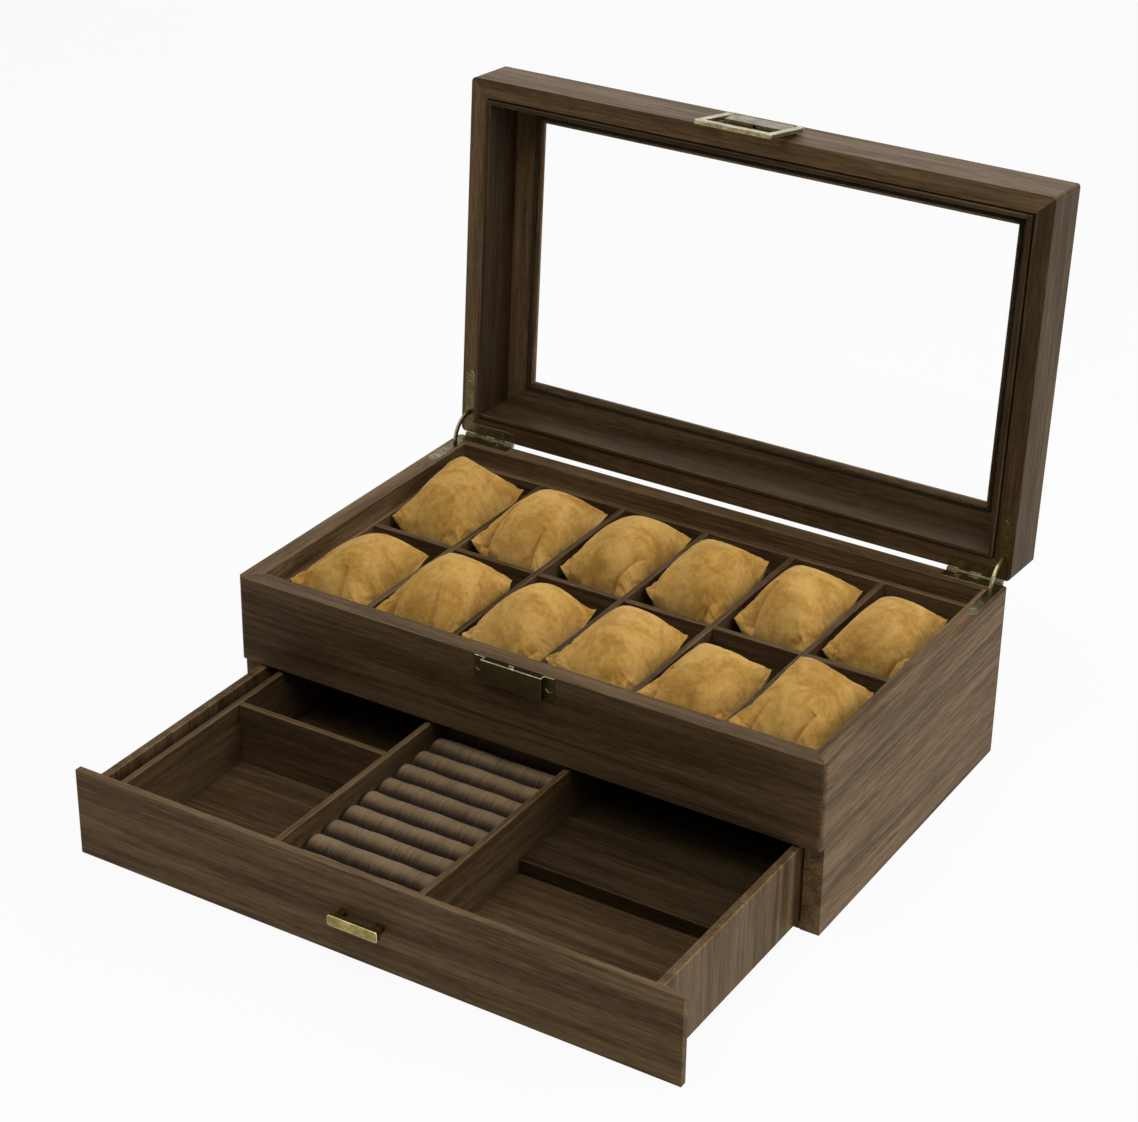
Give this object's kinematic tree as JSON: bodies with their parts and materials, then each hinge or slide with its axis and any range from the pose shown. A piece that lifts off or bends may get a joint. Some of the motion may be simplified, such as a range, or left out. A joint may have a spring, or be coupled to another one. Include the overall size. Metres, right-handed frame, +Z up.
{
  "type": "watch box with drawer",
  "caption": "Watch box in walnut wrap: padded tray under a hinged glass lid with stop hinges and a hasp latch, over a pull-out drawer for rings and cufflinks.",
  "frame": {"origin": "centre of the case's underside, on the table", "axes": "+Z up, -Y towards the front where the drawer opens, +X to the right seen from the front"},
  "size_m": [0.302, 0.3452, 0.2772],
  "materials": {
    "walnut_wrap": "satin walnut-grain wrap on board",
    "suede": "soft brushed nap",
    "ring_fabric": "ribbed cloth",
    "old_brass": "antique, darkened",
    "bright_brass": "polished",
    "glass": "clear",
    "seal": "matt",
    "steel": "plated"
  },
  "bodies": {
    "case": {"case_left_side": "walnut_wrap", "case_right_side": "walnut_wrap", "case_back": "walnut_wrap", "case_front": "walnut_wrap", "case_floor": "walnut_wrap", "tray_floor": "walnut_wrap", "tray_liner": "walnut_wrap", "long_divider": "walnut_wrap", "cross_dividers": "walnut_wrap", "pillow_1": "suede", "pillow_2": "suede", "pillow_3": "suede", "pillow_4": "suede", "pillow_5": "suede", "pillow_6": "suede", "pillow_7": "suede", "pillow_8": "suede", "pillow_9": "suede", "pillow_10": "suede", "pillow_11": "suede", "pillow_12": "suede", "hinge_case_leaf_left": "old_brass", "hinge_case_leaf_right": "old_brass", "hinge_pin_left": "old_brass", "hinge_pin_right": "old_brass", "hinge_case_screws": "old_brass", "latch_keeper": "old_brass", "keeper_screws": "old_brass"},
    "lid": {"lid_front_rail": "walnut_wrap", "lid_back_rail": "walnut_wrap", "lid_left_rail": "walnut_wrap", "lid_right_rail": "walnut_wrap", "lid_liner": "walnut_wrap", "lid_glass": "glass", "glass_seal": "seal", "hinge_lid_leaf_left": "old_brass", "hinge_lid_leaf_right": "old_brass", "hinge_lid_screws": "old_brass", "hasp_plate": "old_brass", "hasp_pin": "old_brass", "hasp_screws": "old_brass"},
    "hasp": {"hasp_loop": "old_brass"},
    "stays": {"stay_left": "old_brass", "stay_right": "old_brass"},
    "drawer": {"drawer_front": "walnut_wrap", "drawer_left_side": "walnut_wrap", "drawer_right_side": "walnut_wrap", "drawer_back": "walnut_wrap", "drawer_bottom": "walnut_wrap", "drawer_liner": "walnut_wrap", "ring_divider_left": "walnut_wrap", "ring_divider_right": "walnut_wrap", "left_cross_divider": "walnut_wrap", "raised_shelf": "walnut_wrap", "ring_rolls": "ring_fabric", "drawer_pull": "bright_brass", "pull_screws": "steel"}
  },
  "joints": [
    {"name": "lid_hinge", "type": "hinge", "parent": "case", "child": "lid", "pos_m": [0, 0.0924, 0.0864], "axis": [1, 0, 0], "range_deg": [0, 93.5]},
    {"name": "stay_swing", "type": "hinge", "parent": "case", "child": "stays", "pos_m": [0, 0.0924, 0.0864], "axis": [1, 0, 0], "range_deg": [0, 46.75]},
    {"name": "hasp_swing", "type": "hinge", "parent": "lid", "child": "hasp", "pos_m": [0, 0.1197, 0.27068], "axis": [-1, 0, 0], "range_deg": [-6.6, 110]},
    {"name": "drawer_slide", "type": "slide", "parent": "case", "child": "drawer", "axis": [0, -1, 0], "range_m": [-0.1153, 0.02]}
  ],
  "couplings": [
    {"joint": "stay_swing", "follows": "lid_hinge", "ratio": 0.5}
  ]
}
